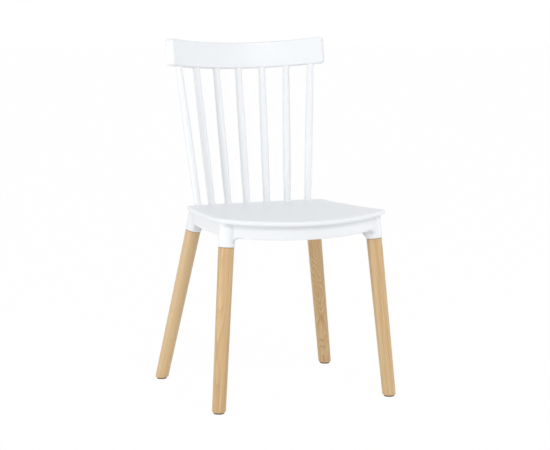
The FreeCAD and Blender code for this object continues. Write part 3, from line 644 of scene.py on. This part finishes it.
def rimProfile():                # (inset, drop, corner round) from the flat of the top to the skirt's root
    wide, deep = seat["topRound"]
    depth = seat["rimDepth"]
    low = seat["lowerDraw"]
    skin = seat["skin"]
    cove = seat["cove"]
    rolledSteps = 9
    faceSteps = 6
    outline = []
    for i in range(rolledSteps + 1):
        angle = quarter * i / rolledSteps
        outline.append((wide - wide * math.sin(angle), deep - deep * math.cos(angle)))
    for i in range(1, faceSteps + 1):
        share = i / faceSteps
        outline.append((low * share ** seat["drawPower"], deep + (depth - seat["lipStart"] - deep) * share))
    outline += [(low + across, depth - lift) for across, lift in seat["lip"]]
    wall = seat["rimWall"] + seat["grooveLean"]
    outline.append((wall, depth - seat["grooveLean"]))
    wall += seat["grooveLean"]
    outline += [(wall, skin + cove), (wall + cove, skin)]
    profile = [(inset, 0.0, turn) for inset, turn in seat["topRings"]]
    for inset, drop in outline:
        profile.append((inset, drop, max(seat["cornerRound"] - inset, seat["sharpestRound"])))
    profile.append((seat["skirtInset"] - cove, skin, seat["coveRound"]))
    profile.append((seat["skirtInset"], skin + cove, seat["skirtRound"]))
    return profile


def rolled(drop, x, y):          # the roll of the rim flattens out towards the rear and the corners
    deep = seat["topRound"][1]
    rearward = (y - seat["dishY"][1]) / (seat["rearCorner"][1] - seat["dishY"][1])
    sideward = (abs(x) - seat["rollHalf"]) / (seat["frontCorner"][0] - seat["rollHalf"])
    share = min(max(rearward, sideward, 0.0), 1.0)
    keep = 1 - (1 - seat["endSharpness"]) * share
    if drop <= deep:
        return drop * keep
    return drop - deep * (1 - keep) * max(0.0, 1 - (drop - deep) / seat["rollFade"])


legs = {
    "rimHeight": 376.0,          # where a leg's shoulder meets the mouth of its socket
    "front": {"socket": (185.0, -171.4), "foot": (215.0, -196.4)},
    "rear": {"socket": (159.0, 122.6), "foot": (222.0, 189.6)},
    "topRadius": 18.2,
    "footRadius": 15.9,
    "tenonRadius": 15.0,
    "tenonLength": 46.0,
    "tenonChamfer": 1.5,
    "tenonFoot": 0.1,            # the tenon's last ring above the shoulder
    "shoulder": ((1.0, 0.0), (0.3, -0.3), (0.0, -1.0)),    # in from the side, height, round its edge
    "soleHeight": 3.5,
    "footRound": 3.0,
    "footRoom": 12.0,            # the taper stops this far above the floor end
    "taperSteps": 24,
    "roundSteps": 6,
    "segments": 64,
    "creaseAngle": 30,
}
socket = {
    "rimRadius": 19.3,
    "rootRadius": 19.9,
    "swell": ((0.05, 5.0), (0.15, 12.0)),    # how the outside grows with the height above the mouth
    "clearance": 0.3,
    "boreDepth": 46.6,
    "boreEdge": 0.4,
    "filletLevel": 20.0,         # height above the mouth where the skirt's edge runs in
    "gussetThickness": 4.0,
    "gussetToe": (20.3, 3.0),    # out from the axis and above the mouth
    "gussetHeel": (57.0, 58.0),
    "gussetSteps": 12,
    "pads": ((18.0, 28.0), (35.0, -28.0)),    # height above the mouth, degrees aside from straight inward
    "padRadius": 8.0,
    "padHeight": 2.2,
    "padRoot": 3.0,
    "padEdge": 0.4,
    "segments": 64,
}


def legAxes():                   # for each corner the socket's mouth, the foot and the way up
    axes = {}
    for corner in corners:
        end, hand = corner.split("_")
        side = 1 if hand == "left" else -1
        rim = Vector((side * legs[end]["socket"][0], legs[end]["socket"][1], legs["rimHeight"]))
        foot = Vector((side * legs[end]["foot"][0], legs[end]["foot"][1], 0))
        axes[corner] = (rim, foot, (rim - foot).normalized())
    return axes


axes = legAxes()


def skirtExtra(x, y):            # how far the skirt's edge dips towards the nearest socket
    fillet = seat["skirtFillet"]
    extra = 0.0
    for rim, foot, axis in axes.values():
        centre = rim + axis * socket["filletLevel"]
        gap = math.hypot(x - centre.x, y - centre.y) - socket["rimRadius"]
        if gap < fillet:
            reach = fillet - max(gap, 0.0)
            extra = max(extra, fillet - math.sqrt(fillet * fillet - reach * reach))
    return extra


def acrossRows(ring, drop, points, faces, ringStart):    # fills an outline with rows from side to side
    count = len(ring)
    columns = seat["columns"]
    rows = []
    for i in range(count // 2 + 1):
        left = ringStart + i
        right = ringStart + (count - i) % count
        if left == right:
            rows.append([left] * (columns + 1))
            continue
        x, y = ring[i]
        row = [left]
        for k in range(1, columns):
            across = x - 2 * x * k / columns
            row.append(len(points))
            points.append((across * mm, y * mm, (dish(across, y) - drop) * mm))
        row.append(right)
        rows.append(row)
    for upper, lower in zip(rows, rows[1:]):
        for k in range(columns):
            face = []
            for corner in (upper[k], upper[k + 1], lower[k + 1], lower[k]):
                if corner not in face:
                    face.append(corner)
            if len(face) > 2:
                faces.append(tuple(face))


def addSeat(points, faces):
    skin = seat["skin"]
    depth = seat["skirtDepth"]
    wall = seat["skirtWall"]
    outside = seat["skirtInset"]
    inside = outside + wall
    root = skin + seat["cove"]
    starts = []
    rings = []

    def addRing(inset, turn, dropAt):
        ring = wholeOutline(inset, turn)
        starts.append(len(points))
        rings.append(ring)
        for x, y in ring:
            points.append((x * mm, y * mm, (dish(x, y) - dropAt(x, y)) * mm))

    def addSkirtRing(inset, share):    # share of the way from the skirt's root to its edge
        addRing(inset, seat["skirtRound"], lambda x, y: root + share * (depth - root + skirtExtra(x, y)))

    for inset, drop, turn in rimProfile():
        addRing(inset, turn, lambda x, y: rolled(drop, x, y))
    for share in (0.3, 0.6, 0.85):
        addSkirtRing(outside, share)
    for across, lift in eased + [(wall - across, lift) for across, lift in reversed(eased)]:
        addRing(outside + across, seat["skirtRound"], lambda x, y: depth + skirtExtra(x, y) - lift)
    for share in (0.7, 0.35, 0.0):
        addSkirtRing(inside, share)
    addRing(inside + seat["cove"], seat["skirtRound"], lambda x, y: skin)
    across, turn = seat["underRing"]
    addRing(inside + across, turn, lambda x, y: skin)
    for first, second in zip(starts, starts[1:]):
        faces += loopFaces(first, second, len(rings[0]))
    acrossRows(rings[0], 0.0, points, faces, starts[0])
    acrossRows(rings[-1], skin, points, faces, starts[-1])


# Sockets: tubes on the leg axes, each with a gusset and two bolt pads, rising into the seat plate

def legFrame(corner):            # origin in the socket's mouth, Z up along the leg, X out along the splay
    rim, foot, axis = axes[corner]
    splay = Vector((foot.x - rim.x, foot.y - rim.y, 0))
    outward = (splay - axis * splay.dot(axis)).normalized()
    turned = Matrix((outward, axis.cross(outward), axis)).transposed().to_4x4()
    return Matrix.Translation(rim) @ turned


def intoPlate(place, radius, angle, sink):    # where a line up the socket is this far below the seat top
    lift = 40.0                  # a first guess, mended by a few rounds
    for _ in range(6):
        point = place @ aboutZ(radius, angle, lift)
        lift += dish(point.x, point.y) - sink - point.z
    return place @ aboutZ(radius, angle, lift)


def addTube(place, points, faces):
    angles = turnSteps(socket["segments"])
    outer = socket["rimRadius"]
    root = socket["rootRadius"]
    bore = legs["tenonRadius"] + socket["clearance"]
    steps = [(bore, socket["boreDepth"]), (bore, socket["boreEdge"]), (bore + socket["boreEdge"], 0.0)]
    steps += [(outer - across, lift) for across, lift in reversed(eased)]
    steps += [(outer + growth, lift) for growth, lift in socket["swell"]]
    rings = [[place @ aboutZ(radius, angle, lift) for angle in angles] for radius, lift in steps]
    for sink in (seat["skin"] * 3, seat["skin"] / 2):
        rings.append([intoPlate(place, root, angle, sink) for angle in angles])
    addRings(rings, points, faces)


def addGusset(place, points, faces):
    half = socket["gussetThickness"] / 2
    toe, low = socket["gussetToe"]
    heel, rise = socket["gussetHeel"]
    rings = []
    for i in range(socket["gussetSteps"] + 1):
        share = i / socket["gussetSteps"]
        reach = toe + (heel - toe) * share
        upper = intoPlate(place, reach, math.pi, seat["skin"] / 2)
        ring = []
        for across, top in ((-half, False), (-half, True), (half, True), (half, False)):
            if top:
                ring.append(upper + place.to_3x3() @ Vector((0, across, 0)))
            else:
                ring.append(place @ Vector((-reach, across, low + (rise - low) * share)))
        rings.append(ring)
    addRings(rings, points, faces)


def addPads(place, points, faces):
    angles = turnSteps(socket["segments"] // 2)
    outer = socket["rimRadius"]
    face = outer + socket["padHeight"]
    wide = socket["padRadius"]
    edge = socket["padEdge"]
    for height, aside in socket["pads"]:
        turned = Matrix.Rotation(math.radians(180 + aside), 4, "Z") @ Matrix.Rotation(quarter, 4, "Y")
        inward = place @ Matrix.Translation((0, 0, height)) @ turned
        steps = ((wide, outer - socket["padRoot"]), (wide, face - edge), (wide - edge, face))
        addRings([[inward @ aboutZ(radius, angle, lift) for angle in angles] for radius, lift in steps],
                 points, faces)


# Ribs under the seat, both ways

ribs = {"thickness": 2.6, "depth": 19.0, "spacing": 62.0, "steps": (-2, -1, 0, 1, 2), "pieces": 24}


def ribWall(start, end, across, points, faces):
    rings = []
    for i in range(ribs["pieces"] + 1):
        spot = start.lerp(end, i / ribs["pieces"])
        ring = []
        for side, top in ((-1, True), (1, True), (1, False), (-1, False)):
            at = spot + across * side * ribs["thickness"] / 2
            drop = seat["skin"] / 2 if top else seat["skin"] + ribs["depth"]
            ring.append(Vector((at.x, at.y, dish(at.x, at.y) - drop)))
        rings.append(ring)
    addRings(rings, points, faces)


def addRibs(points, faces):
    inset = seat["skirtInset"] + seat["skirtWall"] / 2
    side = sideStart - sideOut * inset
    for step in ribs["steps"]:
        x = step * ribs["spacing"]
        rear = rearY + math.sqrt((rearRadius - inset) ** 2 - x * x)
        front = frontY - math.sqrt((frontRadius - inset) ** 2 - x * x)
        ribWall(Vector((x, front)), Vector((x, rear)), Vector((1, 0)), points, faces)
        y = seat["dishY"][1] + step * ribs["spacing"]
        wide = side.x + sideRun.x * (y - side.y) / sideRun.y
        ribWall(Vector((-wide, y)), Vector((wide, y)), Vector((0, 1)), points, faces)


softening = {                    # where the shading of skirt and sockets runs together
    "belowRim": 3.0,
    "reach": 26.0,               # from the socket's outside
    "fade": 10.0,
    "mouthClear": 6.0,           # the socket's mouth stays crisp up to here, then fades in
    "mouthFade": 6.0,
}


def nearSocket(point):           # 1 on the skirt beside a socket, fading out further away
    x, y, z = (part / mm for part in point)
    if z > dish(x, y) - seat["rimDepth"] - softening["belowRim"]:
        return 0.0
    best = 0.0
    for rim, foot, axis in axes.values():
        spot = Vector((x, y, z)) - rim
        gap = (spot - axis * spot.dot(axis)).length - socket["rimRadius"]
        best = max(best, min((softening["reach"] - gap) / softening["fade"], 1.0))
    return best


def aboveMouth(point):
    height = point[2] / mm - legs["rimHeight"] - softening["mouthClear"]
    return min(max(height / softening["mouthFade"], 0.0), 1.0)


def makeSeat():
    points = []
    faces = []
    addSeat(points, faces)
    soften = [nearSocket(point) for point in points]
    for corner in corners:
        place = legFrame(corner)
        for add in (addTube, addGusset, addPads):
            add(place, points, faces)
    soften += [aboveMouth(point) for point in points[len(soften):]]
    addRibs(points, faces)
    soften += [0.0] * (len(points) - len(soften))
    item = meshPiece("seatMoulding", points, faces, blendedWhite, seat["creaseAngle"], soften)
    finishPiece(item, "white_plastic", "seat_and_back_shell")


makeSeat()
print("seat made")


# Back: seven spindles between an arc on the seat and an arc under the crest rail

back = {
    "tilt": 10.5,
    "count": 7,
    "footPitch": 11.6,           # degrees from spindle to spindle
    "footArc": 255.0,
    "foot": (170.1, 428.0),
    "headPitch": 10.95,
    "headArc": 320.0,
    "head": (224.6, 760.0),
    "endRadius": 8.0,
    "bellyRadius": 9.6,
    "bellyAt": 0.38,             # share of the length where a spindle is thickest
    "flare": 1.2,                # growth where a spindle runs into seat and rail
    "flareStart": 0.018,         # share of the length over which the growth is full
    "flareFall": 45.0,           # how fast it goes beyond that, per length
    "sink": 6.0,
    "rings": 64,
    "sides": 32,
}
rail = {
    "arc": 320.0,
    "halfAngle": 39.2,
    "thickness": 24.0,
    "height": 65.5,
    "cornerRound": 8.0,
    "edgeRound": 4.0,
    "topDip": 2.5,               # the upper edge hangs in a shallow arc
    "columns": 64,
    "cornerSteps": 8,
    "edgeSteps": 6,
    "creaseAngle": 60,
}
tilt = math.radians(back["tilt"])
backward = Vector((0, math.cos(tilt), -math.sin(tilt)))
upward = Vector((0, math.sin(tilt), math.cos(tilt)))


def makeSpindles():
    tree = bpy.data.node_groups.new("spindles", "GeometryNodeTree")
    asked = {
        "Count": back["count"], "Foot pitch": back["footPitch"], "Foot arc": back["footArc"],
        "Head pitch": back["headPitch"], "Head arc": back["headArc"], "End radius": back["endRadius"],
        "Belly radius": back["bellyRadius"], "Belly at": back["bellyAt"], "Flare": back["flare"],
        "Sink": back["sink"]}
    sockets = {}
    for name in asked:
        kind = "NodeSocketInt" if name == "Count" else "NodeSocketFloat"
        sockets[name] = tree.interface.new_socket(name, in_out="INPUT", socket_type=kind)
    tree.interface.new_socket("Geometry", in_out="OUTPUT", socket_type="NodeSocketGeometry")
    graph = Graph(tree)
    entry = graph.make("NodeGroupInput").outputs
    value = {name: Val(graph, entry[name]) for name in asked}

    line = graph.make("GeometryNodeCurvePrimitiveLine", None, {"Start": (0, 0, 0), "End": (0, 0, 1)})
    fine = graph.make("GeometryNodeResampleCurve", None, {"Curve": line.outputs[0], "Count": back["rings"]})
    along = Val(graph, graph.make("GeometryNodeSplineParameter").outputs["Factor"])
    lower = (along / value["Belly at"]).fn("MINIMUM", 1.0)
    upper = ((1.0 - along) / (1.0 - value["Belly at"])).fn("MINIMUM", 1.0)
    swell = lower.fn("MINIMUM", upper)
    swell = swell * (2.0 - swell)
    close = along.fn("MINIMUM", 1.0 - along)
    beyond = (close - back["flareStart"]).fn("MAXIMUM", 0.0)
    flare = (1.0 - beyond * back["flareFall"]).fn("MAXIMUM", 0.0).fn("POWER", 2.0) * value["Flare"]
    radius = (value["End radius"] + (value["Belly radius"] - value["End radius"]) * swell + flare) * mm
    section = graph.make("GeometryNodeCurvePrimitiveCircle", None, {
        "Resolution": back["sides"], "Radius": 1.0})
    tube = graph.make("GeometryNodeCurveToMesh", None, {
        "Curve": fine.outputs[0], "Profile Curve": section.outputs[0], "Scale": radius, "Fill Caps": True})

    spots = graph.make("GeometryNodePoints", None, {"Count": entry["Count"]})
    index = Val(graph, graph.make("GeometryNodeInputIndex").outputs[0])
    step = index - (value["Count"] - 1.0) / 2.0

    def onArc(arc, pitch, middle):
        angle = step * pitch * math.radians(1)
        across = arc * angle.fn("SINE")
        away = arc * (angle.fn("COSINE") - 1.0)
        y = away * math.cos(tilt) + middle[0]
        z = away * -math.sin(tilt) + middle[1]
        return graph.vector(across * mm, y * mm, z * mm)

    foot = onArc(value["Foot arc"], value["Foot pitch"], back["foot"])
    head = onArc(value["Head arc"], value["Head pitch"], back["head"])
    span = graph.vectorMaths("SUBTRACT", head, foot).outputs[0]
    sink = value["Sink"] * mm
    length = Val(graph, graph.vectorMaths("LENGTH", span).outputs["Value"]) + sink * 2.0
    unit = graph.vectorMaths("NORMALIZE", span).outputs[0]
    rooting = graph.make("ShaderNodeVectorMath", {"operation": "SCALE"}, {
        "Vector": unit, "Scale": sink * -1.0})
    foot = graph.vectorMaths("ADD", foot, rooting.outputs[0]).outputs[0]
    turned = graph.make("FunctionNodeAlignRotationToVector", {"axis": "Z"}, {"Vector": span})
    placed = graph.make("GeometryNodeSetPosition", None, {"Geometry": spots.outputs[0], "Position": foot})
    copies = graph.make("GeometryNodeInstanceOnPoints", None, {
        "Points": placed.outputs[0], "Instance": tube.outputs[0], "Rotation": turned.outputs[0],
        "Scale": graph.vector(1.0, 1.0, length)})
    whole = graph.make("GeometryNodeRealizeInstances", None, {0: copies.outputs[0]})
    dressed = graph.make("GeometryNodeSetMaterial", None, {"Geometry": whole.outputs[0], "Material": white})
    smooth = graph.make("GeometryNodeSetShadeSmooth", None, {"Geometry": dressed.outputs[0]})
    graph.make("NodeGroupOutput", None, {"Geometry": smooth.outputs[0]})

    carrier = bpy.data.objects.new("spindleCarrier", bpy.data.meshes.new("spindleCarrier"))
    bpy.context.scene.collection.objects.link(carrier)
    modifier = carrier.modifiers.new("spindles", "NODES")
    modifier.node_group = tree
    for name, amount in asked.items():
        modifier[sockets[name].identifier] = amount
    bpy.context.view_layer.update()
    ready = carrier.evaluated_get(bpy.context.evaluated_depsgraph_get())
    mesh = bpy.data.meshes.new_from_object(ready)
    carrier.modifiers.remove(modifier)
    bpy.data.objects.remove(carrier)
    mesh.name = "spindles"
    item = bpy.data.objects.new("spindles", mesh)
    bpy.context.scene.collection.objects.link(item)
    finishPiece(item, "white_plastic", "seat_and_back_shell")


def bent(along, lift, out):      # a place on the flat rail, wrapped round the arc of the back
    height = rail["height"]
    angle = along / rail["arc"]
    endShare = math.sin(angle) / math.sin(math.radians(rail["halfAngle"]))
    dip = rail["topDip"] * (1 - endShare ** 2)
    lift -= max(dip, 0.0) * lift / height
    radius = rail["arc"] + out
    across = Vector((1, 0, 0)) * radius * math.sin(angle)
    centre = Vector((0, *back["head"])) - backward * rail["arc"]
    return centre + across + backward * radius * math.cos(angle) + upward * lift


def railOutline(inset):          # closed, (along, lift) from the left end of the top edge
    turn = rail["cornerRound"] - inset
    half = rail["arc"] * math.radians(rail["halfAngle"]) - inset
    height = rail["height"]
    top = []
    for i in range(rail["cornerSteps"] + 1):
        angle = quarter * i / rail["cornerSteps"]
        top.append((-half + turn - turn * math.cos(angle), height - inset - turn + turn * math.sin(angle)))
    for i in range(1, rail["columns"]):
        top.append((-(half - turn) + 2 * (half - turn) * i / rail["columns"], height - inset))
    top += [(-along, lift) for along, lift in reversed(top[:rail["cornerSteps"] + 1])]
    return top + [(along, height - lift) for along, lift in reversed(top)]


def makeRail():
    deep = rail["thickness"] / 2
    edge = rail["edgeRound"]
    steps = []
    for i in range(rail["edgeSteps"] + 1):
        angle = quarter * i / rail["edgeSteps"]
        steps.append((edge - edge * math.sin(angle), -deep + edge - edge * math.cos(angle)))
    steps += [(inset, -out) for inset, out in reversed(steps)]
    rings = [[bent(along, lift, out) for along, lift in railOutline(inset)] for inset, out in steps]
    points = []
    faces = []
    addRings(rings, points, faces, capped=False)
    count = len(rings[0])
    for start in (0, len(points) - count):    # front and rear face, in strips from the top to the lower edge
        for i in range(count // 2 - 1):
            faces.append((start + i, start + i + 1, start + count - 2 - i, start + count - 1 - i))
    item = meshPiece("crestRail", points, faces, white, rail["creaseAngle"])
    finishPiece(item, "white_plastic", "seat_and_back_shell")


makeSpindles()
makeRail()
print("back made")


# Legs: turned beech, tenon in the socket, foot cut level with a rounded edge

def makeLeg(corner):
    place = legFrame(corner)
    rim, foot, axis = axes[corner]
    length = (rim - foot).length
    angles = turnSteps(legs["segments"])
    tenon = legs["tenonRadius"]
    wide = legs["topRadius"]
    narrow = legs["footRadius"]
    chamfer = legs["tenonChamfer"]
    steps = [(tenon - chamfer, legs["tenonLength"]), (tenon, legs["tenonLength"] - chamfer),
             (tenon, legs["tenonFoot"])]
    steps += [(wide - across, lift) for across, lift in legs["shoulder"]]
    for i in range(1, legs["taperSteps"]):
        share = i / legs["taperSteps"]
        steps.append((wide + (narrow - wide) * share, -share * (length - legs["footRoom"])))
    rings = [[place @ aboutZ(radius, angle, lift) for angle in angles] for radius, lift in steps]

    def level(radius, height):   # a ring of the slanting leg cut at one height above the floor
        ring = []
        for angle in angles:
            flat = place @ aboutZ(radius, angle, 0)
            ring.append(flat - axis * ((flat.z - height) / axis.z))
        return ring

    sole = legs["soleHeight"]
    turn = legs["footRound"]
    for i in range(legs["roundSteps"] + 1):
        angle = quarter * i / legs["roundSteps"]
        rings.append(level(narrow - turn * (1 - math.cos(angle)), sole + turn * (1 - math.sin(angle))))
    points = []
    faces = []
    addRings(rings, points, faces)
    item = meshPiece("leg_piece_" + corner, points, faces, beechWood(corner, place), legs["creaseAngle"])
    finishPiece(item, "beech", "leg_" + corner)


for corner in corners:
    makeLeg(corner)
print("legs made")

bpy.context.view_layer.update()
